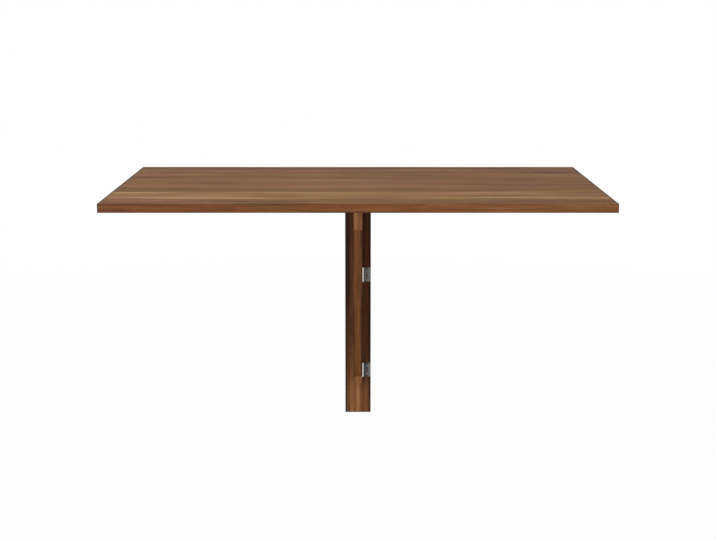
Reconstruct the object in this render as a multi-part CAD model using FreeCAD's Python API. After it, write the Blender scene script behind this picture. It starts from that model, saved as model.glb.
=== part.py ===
"""Wall mounted drop leaf table: a hinged leaf held level by a swinging triangular support.

Millimetres. +X runs along the wall, -Y out into the room, +Z up. The origin lies on the wall plane,
midway along the rail, on the line of the rail's wall screws.
"""
import FreeCAD
import Part
import math
import os

from FreeCAD import Placement, Rotation, Vector

# Driving dimensions
table_width = 1000.0
table_depth = 600.0
board = 18.0              # thickness of every board
strip_width = 60.0        # height of the rail and width of the post
post_reach = 586.0        # from the tabletop's surface to the post's lower end
ledge_depth = 45.0        # the fixed strip of tabletop at the wall
seam_gap = 2.0            # between the ledge and the leaf
rail_length = 960.0
thick_band = 2.0          # edge band of the tabletop and the post
thin_band = 1.0           # edge band of the rail and the support
band_easing = 0.5         # radius that breaks a band's long edges, as a share of its thickness

support_reach = 433.0     # from the wall to the support's tip
support_tip_height = 54.0
support_drop = 508.0      # from the tabletop's surface to the support's lower end
support_gap = 0.5         # between the post and the support
support_top_gap = 7.0     # under the leaf, so that the support passes the leaf hinges
foot_depth = 21.5         # blunt lower end of the support
foot_height = 16.0

butt_height = 34.0        # support hinges
butt_offset = 2.2         # from the hinge axis to the face of each board
butt_barrel = 2.0
butt_pin = 0.9
butt_plate = 1.2
butt_width = 18.0         # from the axis to a leaf's outer edge
butt_drops = (251.0, 481.0)   # hinge centres below the tabletop's surface
butt_screw_spacing = 20.0
butt_screw = {"length": 13.0, "shank": 1.5, "head": 2.8}      # shank and head are radii

strap_height = 60.0       # leaf hinges, measured along the seam
strap_offset = 2.8
strap_barrel = 2.5
strap_pin = 1.2
strap_plate = 1.5
strap_width = 17.0
strap_screw_spacing = 20.0
strap_screw = {"length": 15.0, "shank": 1.7, "head": 3.2}
strap_places = {"far_left": -460.0, "mid_left": -150.0, "mid_right": 150.0, "far_right": 460.0}

pin_clearance = 0.05
knuckle_gap = 0.2
knuckle_relief = 0.3
pin_proud = 0.5           # of each rounded pin end beyond the barrel
plate_corner = 2.0        # rounding of a hinge plate's free corners
screw_clearance = 0.05
screw_point = 0.3         # radius of the blunted tip

wall_hole_radius = 2.25
wall_sink_radius = 4.6
wall_sink_depth = 2.6
outer_wall_holes = 880.0  # hole spacings along the rail
inner_wall_holes = 400.0
post_wall_holes = (-110.0, -400.0)

cam_radius = 7.4
cam_depth = 12.2
cam_sink = 0.4            # of the cam's face below the board's
cam_distance = 34.0       # from the joint face to the cam's centre
driver_slot = (7.2, 1.2, 2.0)     # length, width and depth of the slot for a screwdriver
bolt_head_radius = 3.3
bolt_head_low = 1.5       # from the cam's centre to the near side of the bolt's head
bolt_head_height = 3.0
bolt_neck_radius = 2.0
bolt_thread_radius = 2.9
bolt_grip = 11.0          # of thread in the neighbouring board
dowel_radius = 4.0
dowel_length = 30.0
dowel_grip = 11.0
dowel_chamfer = 0.8
fit_clearance = 0.1       # round cams, threads and dowels
end_clearance = 0.5       # at the ends of their holes, and round the bolts' heads
ledge_cam_places = (-350.0, 0.0, 350.0)
ledge_dowel_places = (-400.0, -100.0, 100.0, 400.0)
post_cam_places = (-15.0, 15.0)

glide_length = 30.0
glide_width = 14.0
glide_clearance = 0.3     # between the glide and the leaf
glide_end = 9.0           # from the support's tip to the glide
glide_rounding = 2.0
glide_screw = {"length": 16.0, "shank": 1.5, "head": 2.8}
glide_screw_shares = (0.25, 0.75)     # places along the glide
glide_screw_sink = 2.0    # of the screws' heads below the glide's top

# Levels and planes worked out from them
half_width = table_width / 2
half_rail = strip_width / 2
underside = half_rail
top_surface = underside + board
leaf_back = -ledge_depth - seam_gap
post_bottom = top_surface - post_reach
support_top = underside - support_top_gap
support_bottom = top_surface - support_drop
support_back = -board - support_gap
board_middle = -board / 2
overshoot = 1.0           # how far a cutter runs past the face it opens

parts = {}


def keep(name, *solids):
    """One node: a solid, or several separate ones in a group."""
    parts[name] = solids[0] if len(solids) == 1 else Part.makeCompound(list(solids))


# General shapes

def inset(points, distances):
    """Corners of a polygon whose edge i, from point i to the next, moves inwards by distances[i]."""
    count = len(points)
    lines = []
    for i in range(count):
        (x0, y0), (x1, y1) = points[i], points[(i + 1) % count]
        length = math.hypot(x1 - x0, y1 - y0)
        ux, uy = (x1 - x0) / length, (y1 - y0) / length
        lines.append((x0 - uy * distances[i], y0 + ux * distances[i], ux, uy))
    corners = []
    for i in range(count):
        ax, ay, aux, auy = lines[i - 1]
        bx, by, bux, buy = lines[i]
        along = ((bx - ax) * buy - (by - ay) * bux) / (aux * buy - auy * bux)
        corners.append((ax + aux * along, ay + auy * along))
    return corners


def prism(points, plane, low, high):
    """A polygon drawn in the plane xy, xz or yz and extruded from low to high across it."""
    lift = {"xy": lambda u, v: Vector(u, v, low),
            "xz": lambda u, v: Vector(u, low, v),
            "yz": lambda u, v: Vector(low, u, v)}[plane]
    across = {"xy": Vector(0, 0, 1), "xz": Vector(0, 1, 0), "yz": Vector(1, 0, 0)}[plane]
    corners = [lift(u, v) for u, v in points]
    face = Part.Face(Part.makePolygon(corners + corners[:1]))
    return face.extrude(across * (high - low))


def banded_board(points, names, plane, low, high, band):
    """A board and its edge bands. Corners run anticlockwise; names[i] is the band on edge i, or None."""
    inner = inset(points, [band if name else 0.0 for name in names])
    core = prism(inner, plane, low, high)
    whole = prism(points, plane, low, high)
    long_edges = []
    for edge in whole.Edges:
        start, end = edge.Vertexes[0].Point, edge.Vertexes[-1].Point
        for i, name in enumerate(names):
            a, b = points[i], points[(i + 1) % len(points)]
            if name and same_line(flat(start, plane), flat(end, plane), a, b):
                long_edges.append(edge)
    eased = whole.makeFillet(band * band_easing, long_edges)
    bands = {}
    for i, name in enumerate(names):
        if name:
            after = (i + 1) % len(points)
            strip = prism([points[i], points[after], inner[after], inner[i]], plane, low, high)
            piece = eased.common(strip).Solids[0]
            bands[name] = bands[name].fuse(piece).removeSplitter() if name in bands else piece
    return core, bands


def flat(point, plane):
    return {"xy": (point.x, point.y), "xz": (point.x, point.z), "yz": (point.y, point.z)}[plane]


def same_line(p, q, a, b):
    """True where p and q are the ends a and b, in either order."""
    near = lambda m, n: math.hypot(m[0] - n[0], m[1] - n[1]) < 1e-6
    return (near(p, a) and near(q, b)) or (near(p, b) and near(q, a))


def block(x0, x1, y0, y1, z0, z1):
    return Part.makeBox(x1 - x0, y1 - y0, z1 - z0, Vector(x0, y0, z0))


def rod(radius, start, end):
    """A cylinder between two points."""
    way = end - start
    return Part.makeCylinder(radius, way.Length, start, way)


def aim(shape, point, way):
    """Turns +Z to the direction way and moves the origin to point."""
    placed = shape.copy()
    placed.Placement = Placement(point, Rotation(Vector(0, 0, 1), way))
    return placed


def cut_all(shape, cutters):
    return shape.cut(cutters) if cutters else shape


def screw_blank(length, shank, head, grow=0.0):
    """A countersunk screw's outline about Z, its head's top at z = 0, its tip down."""
    head_depth = head - shank
    tip = 2.0 * shank
    outline = [
        (0, 0),
        (head + grow, 0),
        (shank + grow, -head_depth),
        (shank + grow, -length + tip),
        (screw_point + grow, -length - grow),
        (0, -length - grow),
    ]
    corners = [Vector(x, 0, z) for x, z in outline]
    face = Part.Face(Part.makePolygon(corners + corners[:1]))
    return face.revolve(Vector(0, 0, 0), Vector(0, 0, 1), 360)


def screw(length, shank, head):
    """A countersunk wood screw with a cross recess."""
    arm = head * 0.62
    slot = head * 0.2
    depth = (head - shank) * 0.75
    cross = block(-arm, arm, -slot, slot, -depth, overshoot)
    cross = cross.fuse(block(-slot, slot, -arm, arm, -depth, overshoot))
    return screw_blank(length, shank, head).cut(cross)


def screws_and_holes(places, way, length, shank, head):
    """Screws set with their heads' tops at the places, and the clearance shapes around them."""
    solids = [aim(screw(length, shank, head), place, way) for place in places]
    cutters = [aim(screw_blank(length, shank, head, screw_clearance), place, way) for place in places]
    return solids, cutters


# Hinges

def hinge(height, offset, barrel, pin, plate, width, knuckles):
    """A butt hinge opened to 180 degrees about Z: its axis at the origin, its plates at y = offset.

    Leaf a lies towards +X and holds the outer knuckles, leaf b towards -X.
    """
    pitch = height / knuckles
    bore = rod(pin + pin_clearance, Vector(0, 0, -height), Vector(0, 0, height))
    root = barrel + knuckle_relief
    leaves = []
    for side, first in ((1, 0), (-1, 1)):
        flat_plate = block(root, width, offset - plate, offset, -height / 2, height / 2)
        outer = [e for e in flat_plate.Edges
                 if abs(e.CenterOfMass.x - width) < 1e-6 and e.Length < plate + 1e-6]
        leaf = flat_plate.makeFillet(plate_corner, outer)
        for i in range(first, knuckles, 2):
            low = -height / 2 + i * pitch + (knuckle_gap / 2 if i else 0.0)
            high = -height / 2 + (i + 1) * pitch - (knuckle_gap / 2 if i < knuckles - 1 else 0.0)
            tube = rod(barrel, Vector(0, 0, low), Vector(0, 0, high))
            tab = block(0, root, offset - plate, offset, low, high)
            leaf = leaf.fuse([tube, tab])
        leaf = leaf.cut(bore).removeSplitter()
        leaves.append(leaf if side == 1 else leaf.mirror(Vector(0, 0, 0), Vector(1, 0, 0)))
    reach = height / 2 + pin_proud
    shaft = rod(pin, Vector(0, 0, -reach), Vector(0, 0, reach))
    shaft = shaft.makeFillet(pin_proud * 0.9, [e for e in shaft.Edges if isinstance(e.Curve, Part.Circle)])
    return leaves[0], leaves[1], shaft


def put(shape, placement):
    placed = shape.copy()
    placed.Placement = placement.multiply(placed.Placement)
    return placed


def leaf_hinges():
    """Four hinges under the seam. Returns the cutters for the ledge and for the leaf."""
    axis_y = -ledge_depth - seam_gap / 2
    axis_z = underside - strap_offset
    plate_face = underside - strap_plate
    hole_reach = (strap_barrel + knuckle_relief + strap_width) / 2
    ledge_screws, leaf_screws = [], []
    ledge_cutters, leaf_cutters = [], []
    towards_wall, towards_room, shaft = hinge(
        strap_height, strap_offset, strap_barrel, strap_pin, strap_plate, strap_width, 5)
    # the hinge's Z goes along the seam, its +X to the wall and its +Y up
    turn = Rotation(Vector(0, 1, 0), Vector(0, 0, 1), Vector(1, 0, 0), "ZXY")
    for name, x in strap_places.items():
        spot = Placement(Vector(x, axis_y, axis_z), turn)
        plates = {}
        for key, shape, sign in (("ledge", towards_wall, 1), ("leaf", towards_room, -1)):
            heads = [Vector(x + step * strap_screw_spacing, axis_y + sign * hole_reach, plate_face)
                     for step in (-1, 0, 1)]
            solids, cutters = screws_and_holes(heads, Vector(0, 0, -1), **strap_screw)
            plates[key] = cut_all(put(shape, spot), cutters)
            if key == "ledge":
                ledge_screws += solids
                ledge_cutters += cutters
            else:
                leaf_screws += solids
                leaf_cutters += cutters
        keep(f"{name}_leaf_hinge_ledge_plate", plates["ledge"])
        keep(f"{name}_leaf_hinge_leaf_plate", plates["leaf"])
        keep(f"{name}_leaf_hinge_pin", put(shaft, spot))
    keep("leaf_hinge_ledge_screws", *ledge_screws)
    keep("leaf_hinge_leaf_screws", *leaf_screws)
    return ledge_cutters, leaf_cutters


def support_hinges():
    """Two butt hinges between post and support. Returns the cutters for the post and the support."""
    axis_x = board / 2 + butt_offset
    axis_y = -board - butt_offset
    hole_reach = (butt_barrel + knuckle_relief + butt_width) / 2
    post_screws, support_screws = [], []
    post_cutters, support_cutters = [], []
    on_post, on_support, shaft = hinge(
        butt_height, butt_offset, butt_barrel, butt_pin, butt_plate, butt_width, 3)
    quarter = Placement(Vector(0, 0, 0), Rotation(Vector(0, 0, 1), 90))
    for name, drop in zip(("upper", "lower"), butt_drops):
        spot = Placement(Vector(axis_x, axis_y, top_surface - drop), Rotation())
        z = spot.Base.z
        steps = (-butt_screw_spacing / 2, butt_screw_spacing / 2)
        post_heads = [Vector(axis_x + hole_reach, -board - butt_plate, z + step) for step in steps]
        support_heads = [Vector(board / 2 + butt_plate, axis_y - hole_reach, z + step)
                         for step in steps]
        a_screws, a_cutters = screws_and_holes(post_heads, Vector(0, -1, 0), **butt_screw)
        b_screws, b_cutters = screws_and_holes(support_heads, Vector(1, 0, 0), **butt_screw)
        keep(f"{name}_support_hinge_wall_leaf", cut_all(put(on_post, spot), a_cutters))
        swung = put(on_support, quarter)
        keep(f"{name}_support_hinge_swing_leaf", cut_all(put(swung, spot), b_cutters))
        keep(f"{name}_support_hinge_pin", put(shaft, spot))
        post_screws += a_screws
        support_screws += b_screws
        post_cutters += a_cutters
        support_cutters += b_cutters
    keep("support_hinge_wall_screws", *post_screws)
    keep("support_hinge_swing_screws", *support_screws)
    return post_cutters, support_cutters


# Knock-down joints

def cam_joint(places, face_z, prefix):
    """Cam locks below a joint face at face_z, their bolts and the holes for both.

    The cams lie in the lower board, open to the wall side; the bolts grip the board above.
    """
    locks, bolts, lower_cutters, upper_cutters = [], [], [], []
    centre = face_z - cam_distance
    head_low = centre + bolt_head_low
    head_high = head_low + bolt_head_height
    slot_half = bolt_head_radius + end_clearance
    driver_length, driver_width, driver_depth = driver_slot
    for x in places:
        cam_end = Vector(x, -cam_depth, centre)
        pocket_end = cam_end - Vector(0, end_clearance, 0)
        bolt_line = {z: Vector(x, board_middle, z) for z in (centre, head_low, head_high, face_z)}
        thread_end = Vector(x, board_middle, face_z + bolt_grip)
        hole_end = thread_end + Vector(0, 0, end_clearance)

        lower_cutters.append(rod(cam_radius + fit_clearance, pocket_end, Vector(x, overshoot, centre)))
        lower_cutters.append(rod(slot_half, bolt_line[centre], Vector(x, board_middle, face_z + overshoot)))
        upper_cutters.append(rod(bolt_thread_radius + fit_clearance, bolt_line[head_high], hole_end))

        cam = rod(cam_radius, cam_end, Vector(x, -cam_sink, centre))
        slot = block(x - slot_half, x + slot_half, -cam_depth - overshoot, board_middle + slot_half,
                     centre + end_clearance, centre + cam_radius + overshoot)
        driver = block(x - driver_length / 2, x + driver_length / 2,
                       -cam_sink - driver_depth, 0,
                       centre - driver_width / 2, centre + driver_width / 2)
        locks.append(cam.cut([slot, driver]))

        bolt = rod(bolt_head_radius, bolt_line[head_low], bolt_line[head_high])
        neck = rod(bolt_neck_radius, bolt_line[head_high], bolt_line[face_z])
        thread = rod(bolt_thread_radius, bolt_line[face_z], thread_end)
        bolts.append(bolt.fuse([neck, thread]).removeSplitter())
    keep(f"{prefix}_cam_locks", *locks)
    keep(f"{prefix}_cam_bolts", *bolts)
    return lower_cutters, upper_cutters


def dowels(places, face_z, name):
    """Wooden dowels across a joint face, and the holes for them."""
    pegs, holes = [], []
    for x in places:
        high = face_z + dowel_grip
        low = high - dowel_length
        peg = rod(dowel_radius, Vector(x, board_middle, low), Vector(x, board_middle, high))
        ends = [e for e in peg.Edges if isinstance(e.Curve, Part.Circle)]
        pegs.append(peg.makeChamfer(dowel_chamfer, ends))
        holes.append(rod(dowel_radius + fit_clearance, Vector(x, board_middle, low - end_clearance),
                         Vector(x, board_middle, high + end_clearance)))
    keep(name, *pegs)
    return holes


def wall_hole(x, z):
    """A countersunk hole for a wall screw, its head on the room side."""
    hole = rod(wall_hole_radius, Vector(x, -board - overshoot, z), Vector(x, overshoot, z))
    sink = Part.makeCone(wall_sink_radius, wall_hole_radius, wall_sink_depth,
                         Vector(x, -board, z), Vector(0, 1, 0))
    return hole.fuse(sink)


# The table

def wall_frame(ledge_hinge_cutters, post_hinge_cutters):
    ledge_outline = [(-half_width, -ledge_depth), (half_width, -ledge_depth),
                     (half_width, 0), (-half_width, 0)]
    ledge_names = ["ledge_front_band", "ledge_right_band", None, "ledge_left_band"]
    ledge, ledge_bands = banded_board(ledge_outline, ledge_names, "xy", underside, top_surface, thick_band)

    half_length = rail_length / 2
    rail_outline = [(-half_length, -half_rail), (half_length, -half_rail),
                    (half_length, half_rail), (-half_length, half_rail)]
    rail_names = ["rail_bottom_band", "rail_right_band", None, "rail_left_band"]
    rail, rail_bands = banded_board(rail_outline, rail_names, "xz", -board, 0, thin_band)

    half_post = strip_width / 2
    post_outline = [(-half_post, post_bottom), (half_post, post_bottom),
                    (half_post, -half_rail), (-half_post, -half_rail)]
    post_names = ["post_bottom_band", "post_right_band", None, "post_left_band"]
    post, post_bands = banded_board(post_outline, post_names, "xz", -board, 0, thick_band)

    rail_cuts, ledge_cuts = cam_joint(ledge_cam_places, underside, "ledge")
    post_cuts, rail_grips = cam_joint(post_cam_places, -half_rail, "post")
    ledge_holes = dowels(ledge_dowel_places, underside, "ledge_dowels")
    post_holes = dowels((0.0,), -half_rail, "post_dowel")
    rail_wall_holes = [wall_hole(side * spacing / 2, 0)
                       for spacing in (outer_wall_holes, inner_wall_holes) for side in (-1, 1)]
    post_wall = [wall_hole(0, z) for z in post_wall_holes]

    keep("ledge_panel", cut_all(ledge, ledge_hinge_cutters + ledge_cuts + ledge_holes))
    keep("wall_rail", cut_all(rail, rail_cuts + rail_grips + ledge_holes + post_holes + rail_wall_holes))
    keep("wall_post", cut_all(post, post_cuts + post_holes + post_wall + post_hinge_cutters))
    rail_bands["rail_bottom_band"] = cut_all(rail_bands["rail_bottom_band"], rail_grips + post_holes)
    for name, solid in {**ledge_bands, **rail_bands, **post_bands}.items():
        keep(name, solid)


def support(hinge_cutters):
    tip = -support_reach
    foot_front = support_back - foot_depth
    outline = [(support_back, support_bottom),
               (support_back, support_top),
               (tip, support_top),
               (tip, support_top - support_tip_height),
               (foot_front, support_bottom + foot_height),
               (foot_front, support_bottom)]
    names = ["support_back_band", "support_top_band", "support_tip_band", "support_slope_band",
             "support_foot_band", "support_foot_band"]
    panel, bands = banded_board(outline, names, "yz", -board / 2, board / 2, thin_band)
    screw_holes = glide()
    keep("support_panel", cut_all(panel, hinge_cutters + screw_holes))
    bands["support_top_band"] = cut_all(bands["support_top_band"], screw_holes)
    for name, solid in bands.items():
        keep(name, solid)


def glide():
    """The nylon block on the support's top edge that the leaf rests on. Returns the screw holes."""
    outer = -support_reach + glide_end
    inner = outer + glide_length
    height = support_top_gap - glide_clearance
    nylon = block(-glide_width / 2, glide_width / 2, outer, inner, support_top, support_top + height)
    upper_edges = [e for e in nylon.Edges if abs(e.CenterOfMass.z - support_top - height) < 1e-6]
    nylon = nylon.makeFillet(glide_rounding, upper_edges)
    heads = [Vector(0, outer + glide_length * share, support_top + height - glide_screw_sink)
             for share in glide_screw_shares]
    solids, cutters = screws_and_holes(heads, Vector(0, 0, 1), **glide_screw)
    open_way = Vector(0, 0, glide_screw_sink + overshoot)
    wells = [rod(glide_screw["head"] + screw_clearance, head, head + open_way) for head in heads]
    keep("glide_block", cut_all(nylon, cutters + wells))
    keep("glide_screws", *solids)
    return cutters


def leaf(hinge_cutters):
    outline = [(-half_width, -table_depth), (half_width, -table_depth),
               (half_width, leaf_back), (-half_width, leaf_back)]
    names = ["leaf_front_band", "leaf_right_band", "leaf_back_band", "leaf_left_band"]
    panel, bands = banded_board(outline, names, "xy", underside, top_surface, thick_band)
    keep("leaf_panel", cut_all(panel, hinge_cutters))
    for name, solid in bands.items():
        keep(name, solid)


ledge_hinge_cutters, leaf_hinge_cutters = leaf_hinges()
post_hinge_cutters, support_hinge_cutters = support_hinges()
wall_frame(ledge_hinge_cutters, post_hinge_cutters)
support(support_hinge_cutters)
leaf(leaf_hinge_cutters)

os.makedirs("parts", exist_ok=True)
for name, shape in parts.items():
    shape.exportStep(f"parts/{name}.step")
    print(f"{name}: {len(shape.Solids)} solid(s), valid {shape.isValid()}, {shape.Volume:.0f} mm3")
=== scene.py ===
import math

import bpy
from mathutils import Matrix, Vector


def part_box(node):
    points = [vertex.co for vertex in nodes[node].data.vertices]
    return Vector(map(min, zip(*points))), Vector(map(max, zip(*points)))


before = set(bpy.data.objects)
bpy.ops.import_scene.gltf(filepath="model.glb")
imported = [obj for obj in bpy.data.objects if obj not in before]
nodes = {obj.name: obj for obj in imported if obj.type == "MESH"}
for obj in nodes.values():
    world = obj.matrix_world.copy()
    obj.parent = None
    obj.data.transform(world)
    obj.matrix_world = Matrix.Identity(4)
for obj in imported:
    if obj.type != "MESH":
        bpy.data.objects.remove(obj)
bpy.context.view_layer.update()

scene = bpy.context.scene
print("frame loaded:", len(nodes), "nodes")


# small helpers for shader trees

noiseRange = (0.3, 0.7)     # most of a noise lies between these values
stainRange = (0.35, 0.7)    # a stain grows over these values of its noise


def tint(red, green, blue):  # screen values 0 to 255 to the linear values that shaders take
    def linear(value):
        share = value / 255
        return share / 12.92 if share <= 0.04045 else ((share + 0.055) / 1.055) ** 2.4
    return (linear(red), linear(green), linear(blue), 1.0)


def addNode(tree, kind, inputs=None, **settings):
    node = tree.nodes.new(kind)
    for key, value in settings.items():
        setattr(node, key, value)
    for key, value in (inputs or {}).items():
        if isinstance(value, bpy.types.NodeSocket):
            tree.links.new(value, node.inputs[key])
        else:
            node.inputs[key].default_value = value
    return node


def calc(tree, operation, *values):
    return addNode(tree, "ShaderNodeMath", dict(enumerate(values)), operation=operation).outputs[0]


def vectorCalc(tree, operation, *vectors):  # some operations give outputs[0], others "Value"
    return addNode(tree, "ShaderNodeVectorMath", dict(enumerate(vectors)), operation=operation).outputs


def remap(tree, value, fromLow, fromHigh, toLow, toHigh, smooth=True):
    inputs = {"Value": value, "From Min": fromLow, "From Max": fromHigh, "To Min": toLow,
              "To Max": toHigh}
    kind = "SMOOTHSTEP" if smooth else "LINEAR"
    return addNode(tree, "ShaderNodeMapRange", inputs, interpolation_type=kind).outputs["Result"]


def mixColor(tree, share, first, second, how="MIX"):  # 6, 7 and 2 are the node's color sockets
    inputs = {0: share, 6: first, 7: second}
    return addNode(tree, "ShaderNodeMix", inputs, data_type="RGBA", blend_type=how).outputs[2]


def colorRamp(tree, value, stops):  # stops: (position, color) from low to high
    node = addNode(tree, "ShaderNodeValToRGB", {"Fac": value})
    elements = node.color_ramp.elements
    while len(elements) < len(stops):
        elements.new(1.0)
    for element, (position, color) in zip(elements, stops):
        element.position = position
        element.color = color
    return node.outputs["Color"]


def noiseAt(tree, vector, scale=1.0, detail=2.0):
    inputs = {"Vector": vector, "Scale": scale, "Detail": detail}
    return addNode(tree, "ShaderNodeTexNoise", inputs).outputs[0]


def centred(tree, noise):  # around 0 instead of around 0.5
    return calc(tree, "SUBTRACT", noise, 0.5)


def stretched(tree, vector, along, across, through, shift=0.0):  # repeats per metre on each axis
    scaled = vectorCalc(tree, "MULTIPLY", vector, (along, across, through))[0]
    return vectorCalc(tree, "ADD", scaled, (shift,) * 3)[0]


def newGroup(name, inputs, outputs):  # inputs and outputs: kinds of socket by label
    group = bpy.data.node_groups.new(name, "ShaderNodeTree")
    for side, sockets in (("INPUT", inputs), ("OUTPUT", outputs)):
        for label, kind in sockets.items():
            group.interface.new_socket(name=label, in_out=side, socket_type="NodeSocket" + kind)
    return group, group.nodes.new("NodeGroupInput").outputs, group.nodes.new("NodeGroupOutput").inputs


def giveOut(group, result, values):
    for label, value in values.items():
        group.links.new(value, result[label])


def useGroup(tree, group, inputs):
    return addNode(tree, "ShaderNodeGroup", inputs, node_tree=group).outputs


def newMaterial(name):  # with its tree, and the place on the object in metres
    material = bpy.data.materials.new(name)
    material.use_nodes = True
    tree = material.node_tree
    return material, tree, addNode(tree, "ShaderNodeTexCoord").outputs["Object"]


def setSurface(tree, color, roughness, constants=None):
    shader = tree.nodes["Principled BSDF"]
    tree.links.new(color, shader.inputs["Base Color"])
    tree.links.new(roughness, shader.inputs["Roughness"])
    for label, value in (constants or {}).items():
        shader.inputs[label].default_value = value


def setBump(tree, height, distance):
    bump = addNode(tree, "ShaderNodeBump", {"Height": height, "Distance": distance, "Strength": 1.0})
    tree.links.new(bump.outputs["Normal"], tree.nodes["Principled BSDF"].inputs["Normal"])


def dress(material, *names):
    for name in names:
        mesh = nodes[name].data
        mesh.materials.clear()
        mesh.materials.append(material)


# wood figure

figureLook = {
    "waver": (1.6, 5.0, 5.0, 3.1),          # repeats per metre on each axis, and shift
    "waverDetail": 1.0,
    "waverGain": 4.0,
    "depthRate": 6.0,                       # repeats per metre into the board
    "middleTone": 0.5,
    # a layer of noise is (repeats per streak length, repeats per streak width, detail, shift)
    "toneLayers": [                         # each with its share of the tone
        ((0.35, 0.6, 1.0, 0.0), 0.6),       # broad bands
        ((1.0, 1.9, 2.0, 7.3), 0.55),       # streaks
        ((2.2, 8.0, 2.0, 13.9), 0.34),      # fine lines
        ((3.6, 23.0, 3.0, 83.0), 0.36),     # finest lines
    ],
    "ringBend": (0.4, 0.7, 2.0, 57.0),      # growth lines
    "ringBendGain": 6.0,
    "ringSharpness": 3.0,
    "ringPatches": (0.7, 0.9, 1.0, 71.0),
    "ringPatchRange": (0.42, 0.62),
    "ringTone": -0.16,
    "fibre": (9.0, 48.0, 3.0, 21.7),
    "pores": (14.0, 66.0, 1.0, 31.1),
    "poreRange": (0.6, 0.68),
    "warmth": (1.3, 1.6, 5.0, 43.0),
}


def makeFigureGroup():
    # The figure is drawn out along the grain, which wavers slowly from side to side. A growth line
    # darkens as a power of a sawtooth, so it is sharp on one side and fades on the other. Fibre and
    # Pores are the print's finest lines and dashes.
    look = figureLook
    group, given, result = newGroup(
        "woodFigure",
        {"Vector": "Vector", "Seed": "Float", "Streak Width": "Float", "Streak Length": "Float",
         "Waviness": "Float"},
        {"Tone": "Float", "Fibre": "Float", "Pores": "Float", "Warmth": "Float"})
    slow = noiseAt(group, stretched(group, given["Vector"], *look["waver"]), detail=look["waverDetail"])
    sway = calc(group, "MULTIPLY", centred(group, slow), given["Waviness"])
    sway = calc(group, "MULTIPLY", sway, look["waverGain"])
    parts = addNode(group, "ShaderNodeSeparateXYZ", {0: given["Vector"]}).outputs
    widths = calc(group, "DIVIDE", calc(group, "ADD", parts[1], sway), given["Streak Width"])
    lengths = calc(group, "DIVIDE", parts[0], given["Streak Length"])
    depths = calc(group, "MULTIPLY", parts[2], look["depthRate"])

    def layer(along, times, detail, shift):
        lengthwise = calc(group, "MULTIPLY", lengths, along)
        sideways = calc(group, "MULTIPLY", widths, times)
        depth = calc(group, "ADD", depths, calc(group, "ADD", given["Seed"], shift))
        place = addNode(group, "ShaderNodeCombineXYZ", {0: lengthwise, 1: sideways, 2: depth})
        return noiseAt(group, place.outputs[0], detail=detail)

    tone = look["middleTone"]
    for numbers, share in look["toneLayers"]:
        change = calc(group, "MULTIPLY", centred(group, layer(*numbers)), share)
        tone = calc(group, "ADD", tone, change)
    bend = calc(group, "MULTIPLY", layer(*look["ringBend"]), look["ringBendGain"])
    rings = calc(group, "FRACT", calc(group, "ADD", widths, bend))
    ringLine = calc(group, "POWER", rings, look["ringSharpness"])
    ringTone = remap(group, layer(*look["ringPatches"]), *look["ringPatchRange"], 0.0, look["ringTone"])
    tone = calc(group, "ADD", tone, calc(group, "MULTIPLY", ringLine, ringTone))
    pores = remap(group, layer(*look["pores"]), *look["poreRange"], 0.0, 1.0)
    giveOut(group, result, {"Tone": tone, "Fibre": layer(*look["fibre"]), "Pores": pores,
                            "Warmth": layer(*look["warmth"])})
    return group


figureGroup = makeFigureGroup()


def figureAt(tree, vector, look, seed):
    inputs = {"Vector": vector, "Seed": seed, "Streak Width": look["streakWidth"],
              "Streak Length": look["streakLength"], "Waviness": look["waviness"]}
    return useGroup(tree, figureGroup, inputs)


# pressed wood chips inside a board

coreLook = {
    "foilDepth": 0.00012,       # how deep the foil reaches over an edge
    "chipScale": 620.0,
    "chipShare": 0.6,
    "crumbScale": 1500.0,
    "crumbDetail": 3.0,
    "crumbShare": 0.5,
    "stops": [(0.1, tint(112, 82, 52)), (0.5, tint(168, 134, 92)), (0.9, tint(205, 178, 136))],
    "roughness": 0.4,           # above the foil's
}


def makeCoreGroup():
    # Mask is 1 wherever the surface lies inside the board's thickness: sawn edges and drilled holes.
    look = coreLook
    group, given, result = newGroup(
        "chipboardCore",
        {"Vector": "Vector", "Depth": "Float", "Centre": "Float", "Half Thickness": "Float"},
        {"Mask": "Float", "Color": "Color", "Height": "Float"})
    offset = calc(group, "ABSOLUTE", calc(group, "SUBTRACT", given["Depth"], given["Centre"]))
    inside = calc(group, "SUBTRACT", given["Half Thickness"], offset)
    mask = calc(group, "GREATER_THAN", inside, look["foilDepth"])
    chips = addNode(group, "ShaderNodeTexVoronoi",
                    {"Vector": given["Vector"], "Scale": look["chipScale"]})
    shade = addNode(group, "ShaderNodeSeparateXYZ", {0: chips.outputs["Color"]}).outputs[0]
    crumbs = noiseAt(group, given["Vector"], look["crumbScale"], look["crumbDetail"])
    blend = calc(group, "ADD", calc(group, "MULTIPLY", shade, look["chipShare"]),
                 calc(group, "MULTIPLY", crumbs, look["crumbShare"]))
    giveOut(group, result, {"Mask": mask, "Color": colorRamp(group, blend, look["stops"]),
                            "Height": blend})
    return group


coreGroup = makeCoreGroup()
print("wood figure and chipboard groups made")


# walnut foil on the boards, and the printed band on their edges

axisX, axisY, axisZ = (1.0, 0.0, 0.0), (0.0, 1.0, 0.0), (0.0, 0.0, 1.0)

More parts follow.
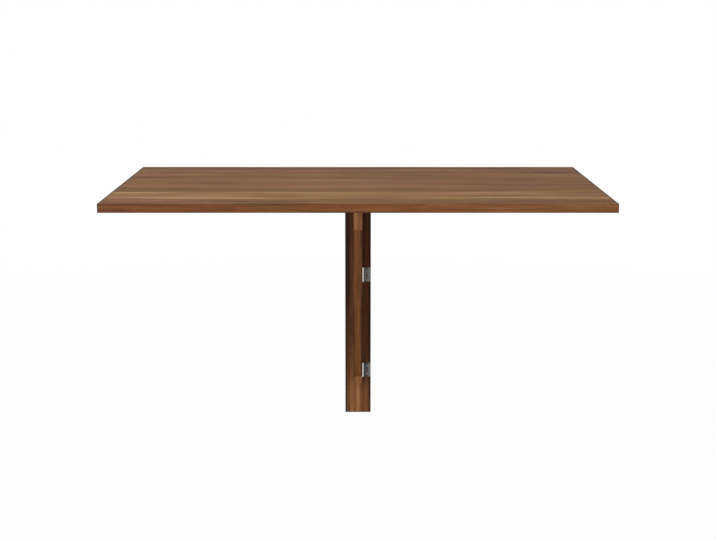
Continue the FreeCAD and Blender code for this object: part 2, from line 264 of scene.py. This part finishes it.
foil = {
    "stops": [(0.24, tint(88, 56, 32)), (0.40, tint(113, 76, 43)), (0.52, tint(128, 91, 54)),
              (0.64, tint(146, 111, 71)), (0.80, tint(170, 137, 95))],
    "warmTint": tint(142, 90, 72),
    "warmRange": (0.45, 0.68),        # of the figure's warmth
    "warmShare": 0.45,
    "oliveTint": tint(132, 105, 46),
    "oliveRange": (0.46, 0.3),
    "oliveShare": 0.4,
    "fibreShade": (0.82, 1.12),       # darkest and palest fibre against the tone
    "fibreHeight": 0.4,
    "poreTint": tint(66, 44, 30),
    "poreShare": 0.45,
    "roughness": (0.55, 0.7),
    "gloss": 0.05,
    "bump": 0.00006,
    "streakWidth": 0.045,
    "streakLength": 0.36,
    "waviness": 0.006,
    "edgeShadeTint": tint(40, 33, 26),     # painted shade on the foil beside a band
    "edgeShare": 0.55,
    "edgeShadeWidth": 0.004,
    "edgeShadeDarkest": 0.4,               # share of that width that is as dark as the edge
}
printedBand = dict(
    foil,
    stops=[(0.24, tint(74, 42, 22)), (0.40, tint(97, 57, 31)), (0.52, tint(111, 68, 38)),
           (0.64, tint(124, 80, 46)), (0.80, tint(144, 100, 62))],
    warmTint=tint(136, 76, 48),
    oliveTint=tint(114, 90, 45),
    gloss=0.12,
    streakWidth=0.012,
    streakLength=0.16,
    waviness=0.0015,
    rimTint=tint(44, 30, 22),
    rimDepth=0.00045,         # how far the plain rim shows beside the print, on the eased edge
)
thickBand = dict(printedBand, rimDepth=0.0009)
streakLook = {
    "drift": (2.2, 3.0, 3.0),         # repeats per metre on each axis
    "driftGain": 4.0,
    "patches": (4.0, 14.0, 3.0),
    "patchShift": 4.0,
    "patchRange": (0.35, 0.62),
    "patchFade": (0.35, 1.4),         # weakest and strongest part of a streak
}


def addStreaks(tree, tone, grainPlace, lengthwise, sideways, waviness, seed, streaks):
    # Streaks are (place across the grain, half width, strength) in metres and shares of the tone. One
    # with two more numbers grows in between those places along the grain.
    look = streakLook
    slow = noiseAt(tree, stretched(tree, grainPlace, *look["drift"], seed))
    drift = calc(tree, "MULTIPLY", centred(tree, slow), waviness * look["driftGain"])
    drifted = calc(tree, "ADD", sideways, drift)
    patchy = noiseAt(tree, stretched(tree, grainPlace, *look["patches"], seed + look["patchShift"]))
    fade = remap(tree, patchy, *look["patchRange"], *look["patchFade"])
    for middle, half, strength, *reach in streaks:
        away = calc(tree, "ABSOLUTE", calc(tree, "SUBTRACT", drifted, middle))
        streak = remap(tree, away, 0.0, half, strength, 0.0)
        if reach:
            streak = calc(tree, "MULTIPLY", streak, remap(tree, lengthwise, *reach, 0.0, 1.0))
        tone = calc(tree, "ADD", tone, calc(tree, "MULTIPLY", streak, fade))
    return tone


def walnut(name, directions, thickness, look, seed, streaks=(), slants=(), solidRim=False, ends=None,
           sides=None):
    # Directions run along and across the grain and through the board, or out of a band's face.
    # Slants are (start, end, first tone, last tone): the foil gets paler or darker along the board.
    # Ends and sides are the spans, along and across the grain, at whose limits the foil gets painted
    # shade.
    material, tree, place = newMaterial(name)
    lengthwise, sideways, depth = [vectorCalc(tree, "DOT_PRODUCT", place, direction)["Value"]
                                   for direction in directions]
    grainPlace = addNode(tree, "ShaderNodeCombineXYZ", {0: lengthwise, 1: sideways, 2: depth}).outputs[0]
    figure = figureAt(tree, grainPlace, look, seed)
    tone = figure["Tone"]
    if streaks:
        tone = addStreaks(tree, tone, grainPlace, lengthwise, sideways, look["waviness"], seed, streaks)
    for slant in slants:
        tone = calc(tree, "ADD", tone, remap(tree, lengthwise, *slant))
    color = colorRamp(tree, tone, look["stops"])
    warm = remap(tree, figure["Warmth"], *look["warmRange"], 0.0, look["warmShare"])
    color = mixColor(tree, warm, color, look["warmTint"])
    olive = remap(tree, figure["Warmth"], *look["oliveRange"], 0.0, look["oliveShare"])
    color = mixColor(tree, olive, color, look["oliveTint"])
    lines = remap(tree, figure["Fibre"], *noiseRange, *look["fibreShade"], smooth=False)
    color = mixColor(tree, 1.0, color, lines, "MULTIPLY")
    pores = calc(tree, "MULTIPLY", figure["Pores"], look["poreShare"])
    color = mixColor(tree, pores, color, look["poreTint"])
    rough = remap(tree, figure["Fibre"], *noiseRange, *look["roughness"], smooth=False)
    fibreHeight = calc(tree, "MULTIPLY", figure["Fibre"], look["fibreHeight"])
    height = calc(tree, "SUBTRACT", fibreHeight, figure["Pores"])
    lowSide, highSide = thickness
    centre, halfThickness = (lowSide + highSide) / 2, (highSide - lowSide) / 2
    if solidRim:  # the band is printed on its outer face and plain through its thickness
        offset = calc(tree, "ABSOLUTE", calc(tree, "SUBTRACT", sideways, centre))
        rim = calc(tree, "GREATER_THAN", offset, halfThickness - look["rimDepth"])
        color = mixColor(tree, rim, color, look["rimTint"])
    else:
        core = useGroup(tree, coreGroup, {"Vector": place, "Depth": depth, "Centre": centre,
                                          "Half Thickness": halfThickness})
        color = mixColor(tree, core["Mask"], color, core["Color"])
        rough = calc(tree, "ADD", rough, calc(tree, "MULTIPLY", core["Mask"], coreLook["roughness"]))
        height = calc(tree, "ADD", height, calc(tree, "MULTIPLY", core["Mask"], core["Height"]))
    # painted shade: the foil darkens towards the limits of the ends and sides
    for measured, span in ((lengthwise, ends), (sideways, sides)):
        if span:
            inward = calc(tree, "MINIMUM", calc(tree, "SUBTRACT", measured, span[0]),
                          calc(tree, "SUBTRACT", span[1], measured))
            width = look["edgeShadeWidth"]
            share = remap(tree, inward, width * look["edgeShadeDarkest"], width, look["edgeShare"], 0.0)
            color = mixColor(tree, share, color, look["edgeShadeTint"])
    setSurface(tree, color, rough, {"Specular IOR Level": look["gloss"]})
    setBump(tree, height, look["bump"])
    return material


def spanOf(node, axis):
    low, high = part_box(node)
    return low[axis], high[axis]


topSpan = spanOf("leaf_panel", 2)
wallSpan = spanOf("wall_post", 1)
supportSpan = spanOf("support_panel", 0)

# pale and dark streaks across the tabletop, from the wall to the front edge; the first is painted shade
# along the back edge by the wall
topStreaksAndBackShade = [(-0.008, 0.02, -0.30), (-0.030, 0.016, -0.26), (-0.066, 0.016, 0.10),
              (-0.088, 0.022, -0.14), (-0.116, 0.02, -0.17), (-0.152, 0.016, 0.06),
              (-0.190, 0.026, 0.05), (-0.270, 0.026, -0.04), (-0.314, 0.018, -0.06),
              (-0.300, 0.016, -0.18, 0.1, -0.3), (-0.302, 0.020, 0.13, 0.1, 0.4),
              (-0.380, 0.022, -0.10), (-0.400, 0.014, 0.14, -0.1, -0.4), (-0.448, 0.020, 0.22),
              (-0.446, 0.010, 0.16, 0.0, -0.35), (-0.444, 0.012, -0.20, 0.1, 0.4),
              (-0.476, 0.016, 0.10), (-0.517, 0.028, 0.28), (-0.507, 0.008, -0.14, 0.1, 0.35),
              (-0.572, 0.030, -0.24)]
topFoil = walnut("walnutTop", (axisX, axisY, axisZ), topSpan, foil, seed=2.0,
                 streaks=topStreaksAndBackShade, slants=[(-0.1, 0.4, 0.01, -0.04)], ends=spanOf("leaf_panel", 0))
dress(topFoil, "leaf_panel", "ledge_panel")

lengthLook = dict(printedBand, rimTint=tint(70, 46, 32), rimDepth=0.0006)
# painted shade along the bands' lower edge
lowerEdgeShadeStreak = (topSpan[0] + 0.0010, 0.0024, -0.14)
lengthBand = walnut("walnutBandLength", (axisX, axisZ, axisY), topSpan, lengthLook, seed=5.0,
                    streaks=[lowerEdgeShadeStreak],
                    slants=[(-0.25, 0.4, -0.02, 0.09), (-0.24, -0.14, 0.0, -0.08),
                            (-0.05, 0.06, 0.0, 0.10), (0.3, 0.42, 0.0, 0.10)],
                    solidRim=True, ends=spanOf("leaf_front_band", 0))
dress(lengthBand, "leaf_front_band", "leaf_back_band", "ledge_front_band")

railFoil = walnut("walnutRail", (axisX, axisZ, axisY), wallSpan, foil, seed=11.0)
dress(railFoil, "wall_rail")

# the post's foil is darker and redder than the other boards' foil; the darkness is painted shade under
# the tabletop
postLook = dict(
    foil,
    stops=[(0.24, tint(58, 33, 20)), (0.40, tint(94, 56, 34)), (0.52, tint(118, 74, 44)),
           (0.64, tint(142, 92, 54)), (0.80, tint(160, 110, 66)), (0.98, tint(182, 130, 86))],
    warmTint=tint(128, 66, 46),
    warmShare=0.5,
    oliveTint=tint(114, 88, 45),
    oliveShare=0.25,
    gloss=0.12,
    streakWidth=0.022,
    streakLength=0.3,
    waviness=0.0012,
    # a stronger and wider painted shade along the post's sides
    edgeShare=0.72,
    edgeShadeWidth=0.0045,
)
postStreaks = [(-0.014, 0.009, 0.22), (-0.001, 0.0045, 0.46), (0.0105, 0.009, -0.2, -0.36, -0.46),
               (0.025, 0.008, 0.06), (-0.0215, 0.006, -0.06), (0.0015, 0.005, 0.3, -0.40, -0.50)]
postFoil = walnut("walnutPost", (axisZ, axisX, axisY), wallSpan, postLook, seed=14.0,
                  streaks=postStreaks,
                  # painted shade under the tabletop: darker towards the top of the post, paler towards
                  # its bottom
                  slants=[(-0.12, -0.42, -0.18, 0.0), (-0.44, -0.50, 0.0, 0.16)],
                  sides=spanOf("wall_post", 0))
dress(postFoil, "wall_post")

supportFoil = walnut("walnutSupport", (axisZ, axisY, axisX), supportSpan, foil, seed=23.0)
dress(supportFoil, "support_panel")

supportLook = dict(
    printedBand,
    stops=[(0.24, tint(68, 37, 16)), (0.40, tint(98, 56, 23)), (0.52, tint(114, 68, 27)),
           (0.64, tint(132, 84, 35)), (0.80, tint(150, 102, 48))])
slopeLow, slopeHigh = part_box("support_slope_band")
slopeRun, slopeRise = slopeHigh[1] - slopeLow[1], slopeHigh[2] - slopeLow[2]
slopeLength = math.hypot(slopeRun, slopeRise)
downSlope = (0.0, slopeRun / slopeLength, -slopeRise / slopeLength)
offSlope = (0.0, slopeRise / slopeLength, slopeRun / slopeLength)
# the first two are painted shade along the band's right and left edges; the last two are print streaks
slopeStreaksAndEdgeShade = [(0.0076, 0.0036, -0.36), (-0.008, 0.0035, -0.2), (-0.0035, 0.003, -0.05),
                (0.0025, 0.0045, 0.14)]
slopeBand = walnut("walnutBandSlope", (downSlope, axisX, offSlope), supportSpan, supportLook, seed=29.0,
                   streaks=slopeStreaksAndEdgeShade, solidRim=True)
dress(slopeBand, "support_slope_band")

# the post bands' plain rim is darker than the other bands': the band's own colour with painted shade
# along the post's edges
postBandLook = dict(thickBand, rimTint=tint(24, 16, 12))
# painted light: the tip and foot bands are a lighter copy of the support's band print
litTipLook = dict(
    printedBand,
    stops=[(0.24, tint(130, 84, 52)), (0.40, tint(156, 104, 64)), (0.52, tint(170, 116, 74)),
           (0.64, tint(182, 130, 86)), (0.80, tint(192, 144, 100))])
shortBands = [  # (material, directions, span across the band, look, seed, nodes)
    ("walnutBandSide", (axisY, axisZ, axisX), topSpan, thickBand, 8.0,
     ("leaf_left_band", "leaf_right_band", "ledge_left_band", "ledge_right_band")),
    ("walnutBandPost", (axisZ, axisY, axisX), wallSpan, postBandLook, 17.0,
     ("post_left_band", "post_right_band")),
    ("walnutBandFoot", (axisX, axisY, axisZ), wallSpan, thickBand, 18.0, ("post_bottom_band",)),
    ("walnutBandRailEnd", (axisZ, axisY, axisX), wallSpan, printedBand, 20.0,
     ("rail_left_band", "rail_right_band")),
    ("walnutBandUnder", (axisX, axisY, axisZ), wallSpan, printedBand, 19.0, ("rail_bottom_band",)),
    ("walnutBandTip", (axisZ, axisX, axisY), supportSpan, litTipLook, 33.0,
     ("support_tip_band", "support_foot_band")),
    ("walnutBandBack", (axisZ, axisX, axisY), supportSpan, supportLook, 31.0, ("support_back_band",)),
    ("walnutBandTopEdge", (axisY, axisX, axisZ), supportSpan, supportLook, 37.0, ("support_top_band",)),
]
for name, directions, span, look, seed, banded in shortBands:
    dress(walnut(name, directions, span, look, seed, solidRim=True), *banded)
print("boards and bands finished")


# metal

platingLook = {
    "stainScale": 160.0,
    "stainDetail": 3.0,
    "scratchScale": 70.0,
    "scratchDistortion": 9.0,
    "scratchDetail": 2.0,
    "scratchDetailScale": 3.0,
    "scratchRange": (0.985, 1.0),
}


def makePlatingGroup():
    # Drawn or rolled plate: fine lines along one direction, soft cloudy stains and a few scratches.
    look = platingLook
    group, given, result = newGroup("platedSteel", {"Vector": "Vector", "Lines": "Vector"},
                                    {"Stain": "Float", "Lines": "Float", "Scratches": "Float"})
    stain = noiseAt(group, given["Vector"], look["stainScale"], look["stainDetail"])
    lines = noiseAt(group, vectorCalc(group, "MULTIPLY", given["Vector"], given["Lines"])[0])
    inputs = {"Vector": given["Vector"], "Scale": look["scratchScale"],
              "Distortion": look["scratchDistortion"], "Detail": look["scratchDetail"],
              "Detail Scale": look["scratchDetailScale"]}
    marks = addNode(group, "ShaderNodeTexWave", inputs, bands_direction="DIAGONAL").outputs["Fac"]
    scratches = remap(group, marks, *look["scratchRange"], 0.0, 1.0)
    giveOut(group, result, {"Stain": stain, "Lines": lines, "Scratches": scratches})
    return group


platingGroup = makePlatingGroup()

plating = {
    "stainShare": 0.7,
    "scratchRoughness": 0.15,
    "bump": 0.00002,
}
plainHinge = dict(
    plating,
    base=tint(124, 122, 118),
    stain=tint(70, 74, 75),
    roughness=(0.42, 0.58),
    lines=(1400.0, 1400.0, 90.0),     # repeats per metre of the drawn lines, which follow the pin
    pinDirection=axisZ,
    barrelRadius=0.0020,
    rubbed=tint(252, 242, 230),       # worn as the support swings at every use, and brightened as a painted highlight on the barrel
    rubbedHighlightSpan=(1.0, 1.12),           # this span and the next two are in barrel radii from the pin
    polish=0.3,                       # how much smoother the rubbed barrel is
    # painted shade in the groove between the barrel and the plate
    grooveShade=tint(40, 34, 30),
    grooveShadeSpan=(1.05, 2.1),
    edge=tint(168, 166, 162),         # the plate's free edge is cleaner than its middle
    edgeSpan=(5.5, 8.5),
    edgeShare=0.5,
)
# painted shade: the lower hinge is a darker copy of the upper hinge's steel, with a brighter painted
# highlight on its barrel
shadedHinge = dict(plainHinge, base=tint(84, 84, 82), stain=tint(44, 49, 51), edge=tint(148, 147, 144),
                 rubbed=tint(255, 250, 240), polish=0.4)
seamHinge = dict(plainHinge, base=tint(112, 111, 108), stain=tint(64, 68, 69),
                 lines=(90.0, 1400.0, 1400.0), pinDirection=axisX, barrelRadius=0.0025,
                 rubbed=tint(206, 202, 194))
turnedPin = dict(plating, base=tint(206, 205, 202), stain=tint(176, 174, 170), roughness=(0.2, 0.32),
                 lines=(1800.0, 1800.0, 60.0))
platedScrew = dict(plating, base=tint(168, 167, 164), stain=tint(124, 124, 125), roughness=(0.25, 0.42),
                   lines=(900.0, 900.0, 900.0))
# darker than the plated screws
darkScrew = dict(platedScrew, base=tint(122, 118, 114), stain=tint(84, 83, 82), roughness=(0.34, 0.5))
castCam = dict(platedScrew, base=tint(170, 171, 174), stain=tint(132, 133, 137), roughness=(0.42, 0.6),
               lines=(500.0, 500.0, 500.0))


def wearShadeAndHighlightAroundPin(tree, place, look, pin, color, roughness):
    # The rolled knuckles around the pin are worn and brightened as a painted highlight, and the groove
    # between them and the plate gets painted shade. Reach is the distance from the pin's axis.
    low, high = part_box(pin)
    middle = [(start + end) / 2 for start, end in zip(low, high)]
    fromPin = vectorCalc(tree, "SUBTRACT", place, middle)[0]
    side = vectorCalc(tree, "CROSS_PRODUCT", fromPin, look["pinDirection"])[0]
    reach = vectorCalc(tree, "LENGTH", side)["Value"]

    def over(span, nearValue, farValue):
        near, far = [look["barrelRadius"] * times for times in look[span]]
        return remap(tree, reach, near, far, nearValue, farValue)

    color = mixColor(tree, over("edgeSpan", 0.0, look["edgeShare"]), color, look["edge"])
    color = mixColor(tree, over("grooveShadeSpan", 1.0, 0.0), color, look["grooveShade"])
    # the rubbed barrel also carries a painted highlight
    rubbed = over("rubbedHighlightSpan", 1.0, 0.0)
    color = mixColor(tree, rubbed, color, look["rubbed"])
    return color, calc(tree, "SUBTRACT", roughness, calc(tree, "MULTIPLY", rubbed, look["polish"]))


def metal(name, look, pin=None):
    material, tree, place = newMaterial(name)
    plate = useGroup(tree, platingGroup, {"Vector": place, "Lines": look["lines"]})
    stain = remap(tree, plate["Stain"], *stainRange, 0.0, look["stainShare"])
    color = mixColor(tree, stain, look["base"], look["stain"])
    roughness = remap(tree, plate["Lines"], *noiseRange, *look["roughness"], smooth=False)
    scratched = calc(tree, "MULTIPLY", plate["Scratches"], look["scratchRoughness"])
    roughness = calc(tree, "ADD", roughness, scratched)
    if pin:
        color, roughness = wearShadeAndHighlightAroundPin(tree, place, look, pin, color, roughness)
    setSurface(tree, color, roughness, {"Metallic": 1.0})
    setBump(tree, calc(tree, "SUBTRACT", plate["Lines"], plate["Scratches"]), look["bump"])
    return material


upperSteel = metal("upperHingeSteel", plainHinge, "upper_support_hinge_pin")
lowerSteel = metal("lowerHingeSteel", shadedHinge, "lower_support_hinge_pin")
seamSteel = metal("seamHingeSteel", seamHinge, "far_left_leaf_hinge_pin")
pinSteel = metal("pinSteel", turnedPin)
screwSteel = metal("screwSteel", platedScrew)
darkScrewSteel = metal("darkScrewSteel", darkScrew)
camZinc = metal("camZinc", castCam)

for name in nodes:
    if name.endswith(("hinge_ledge_plate", "hinge_leaf_plate")):
        dress(seamSteel, name)
    elif name.endswith("_pin"):
        dress(pinSteel, name)
    elif name.startswith("upper_support_hinge"):
        dress(upperSteel, name)
    elif name.startswith("lower_support_hinge"):
        dress(lowerSteel, name)
    elif name.startswith("support_hinge"):
        dress(darkScrewSteel, name)
    elif name.endswith(("_screws", "cam_bolts")):
        dress(screwSteel, name)
    elif name.endswith("cam_locks"):
        dress(camZinc, name)
print("metal finished")


# nylon glide

nylonLook = {
    "fresh": tint(214, 211, 200),
    "yellowed": tint(196, 191, 178),
    "cloudScale": 220.0,
    "cloudDetail": 3.0,
    "rubbedLines": (1600.0, 120.0, 300.0),    # repeats per metre on each axis
    "roughness": (0.38, 0.6),
    "bump": 0.00003,
    "subsurface": 0.1,
}


def nylonFinish():
    look = nylonLook
    material, tree, place = newMaterial("glideNylon")
    cloud = noiseAt(tree, place, look["cloudScale"], look["cloudDetail"])
    rubbed = noiseAt(tree, stretched(tree, place, *look["rubbedLines"]))
    color = mixColor(tree, remap(tree, cloud, *stainRange, 0.0, 1.0), look["fresh"], look["yellowed"])
    rough = remap(tree, rubbed, *noiseRange, *look["roughness"], smooth=False)
    setSurface(tree, color, rough, {"Subsurface Weight": look["subsurface"]})
    setBump(tree, rubbed, look["bump"])
    return material


dress(nylonFinish(), "glide_block")


# beech dowels

beechLook = {
    "stops": [(0.35, tint(178, 140, 98)), (0.6, tint(214, 180, 136))],
    "roughness": (0.5, 0.7),
    "seed": 51.0,
    "streakWidth": 0.004,
    "streakLength": 0.3,
    "waviness": 0.0005,
}


def beechFinish():
    look = beechLook
    material, tree, place = newMaterial("beechDowel")
    upright = addNode(tree, "ShaderNodeVectorRotate", {"Vector": place, "Angle": math.pi / 2},
                      rotation_type="Y_AXIS").outputs[0]
    figure = figureAt(tree, upright, look, look["seed"])
    rough = remap(tree, figure["Fibre"], *noiseRange, *look["roughness"], smooth=False)
    setSurface(tree, colorRamp(tree, figure["Tone"], look["stops"]), rough)
    return material


dress(beechFinish(), "ledge_dowels", "post_dowel")
print("nylon and beech finished")


# studio: white world for the camera, pale floor, soft lamps

studio = {
    "floorDrop": 0.75,       # below the tabletop's surface
    "floorSize": 30.0,
    "floorColor": (0.95, 0.95, 0.95, 1.0),
    "floorRoughness": 0.9,
    "floorGlow": 0.96,       # share of plain white that the camera sees in the floor near the object
    "plainBeyond": (1.6, 3.2),    # metres from the object to where the floor is plain white
    "ambient": 0.2,
    "lamps": {  # name: (place, aim, width, height, power)
        "frontSoftbox": ((-1.3, -3.0, 2.5), (0.0, -0.2, -0.1), 1.6, 0.9, 82.0),
        "overheadSoftbox": ((0.0, -0.7, 3.0), (0.0, -0.3, 0.0), 2.6, 1.6, 36.0),
        "lowFill": ((-0.9, -3.9, 0.2), (0.0, 0.0, -0.2), 2.4, 1.2, 30.0),
    },
}
plainWhite = (1.0, 1.0, 1.0, 1.0)


def makeWorld():
    world = bpy.data.worlds.new("studioWorld")
    scene.world = world
    world.use_nodes = True
    tree = world.node_tree
    background = tree.nodes["Background"]
    path = addNode(tree, "ShaderNodeLightPath").outputs
    seen = calc(tree, "MAXIMUM", path["Is Camera Ray"], path["Is Glossy Ray"])
    seen = calc(tree, "MAXIMUM", seen, path["Is Transmission Ray"])
    strength = remap(tree, seen, 0.0, 1.0, studio["ambient"], 1.0, smooth=False)
    background.inputs["Color"].default_value = plainWhite
    tree.links.new(strength, background.inputs["Strength"])


def makeFloor():
    half = studio["floorSize"] / 2
    level = topSpan[1] - studio["floorDrop"]
    corners = [(-half, -half, level), (half, -half, level), (half, half, level), (-half, half, level)]
    mesh = bpy.data.meshes.new("studioFloor")
    mesh.from_pydata(corners, [], [(0, 1, 2, 3)])
    floor = bpy.data.objects.new("studioFloor", mesh)
    scene.collection.objects.link(floor)
    material, tree, place = newMaterial("studioFloor")
    shader = tree.nodes["Principled BSDF"]
    shader.inputs["Base Color"].default_value = studio["floorColor"]
    shader.inputs["Roughness"].default_value = studio["floorRoughness"]
    path = addNode(tree, "ShaderNodeLightPath").outputs
    seen = calc(tree, "MAXIMUM", path["Is Camera Ray"], path["Is Glossy Ray"])
    glow = addNode(tree, "ShaderNodeEmission", {"Color": plainWhite, "Strength": 1.0})
    away = vectorCalc(tree, "DISTANCE", place, (0.0, 0.0, level))["Value"]
    white = remap(tree, away, *studio["plainBeyond"], studio["floorGlow"], 1.0)
    share = calc(tree, "MULTIPLY", seen, white)
    mixed = addNode(tree, "ShaderNodeMixShader", {0: share, 1: shader.outputs[0], 2: glow.outputs[0]})
    below = addNode(tree, "ShaderNodeNewGeometry").outputs["Backfacing"]  # clear when seen from below
    clear = addNode(tree, "ShaderNodeBsdfTransparent")
    both = addNode(tree, "ShaderNodeMixShader", {0: below, 1: mixed.outputs[0], 2: clear.outputs[0]})
    tree.links.new(both.outputs[0], tree.nodes["Material Output"].inputs["Surface"])
    mesh.materials.append(material)


def makeLamps():
    for name, (place, target, width, height, power) in studio["lamps"].items():
        data = bpy.data.lights.new(name, "AREA")
        data.shape = "RECTANGLE"
        data.size, data.size_y = width, height
        data.energy = power
        lamp = bpy.data.objects.new(name, data)
        lamp.location = place
        lamp.rotation_euler = (Vector(target) - Vector(place)).to_track_quat("-Z", "Y").to_euler()
        scene.collection.objects.link(lamp)


view = {
    "lens": 72.07,            # mm
    "sensor": 36.0,           # mm
    "distance": 3.3183,       # from the wall
    "aboveTop": 0.3903,
    "pitchDegrees": 10.82,    # downwards
}


def makeCamera():
    data = bpy.data.cameras.new("viewCamera")
    data.lens = view["lens"]
    data.sensor_width = view["sensor"]
    camera = bpy.data.objects.new("viewCamera", data)
    camera.location = (0.0, -view["distance"], topSpan[1] + view["aboveTop"])
    camera.rotation_euler = (math.radians(90.0 - view["pitchDegrees"]), 0.0, 0.0)
    scene.collection.objects.link(camera)
    scene.camera = camera


makeWorld()
makeFloor()
makeLamps()
makeCamera()
scene.view_settings.view_transform = "Standard"
print("studio ready")
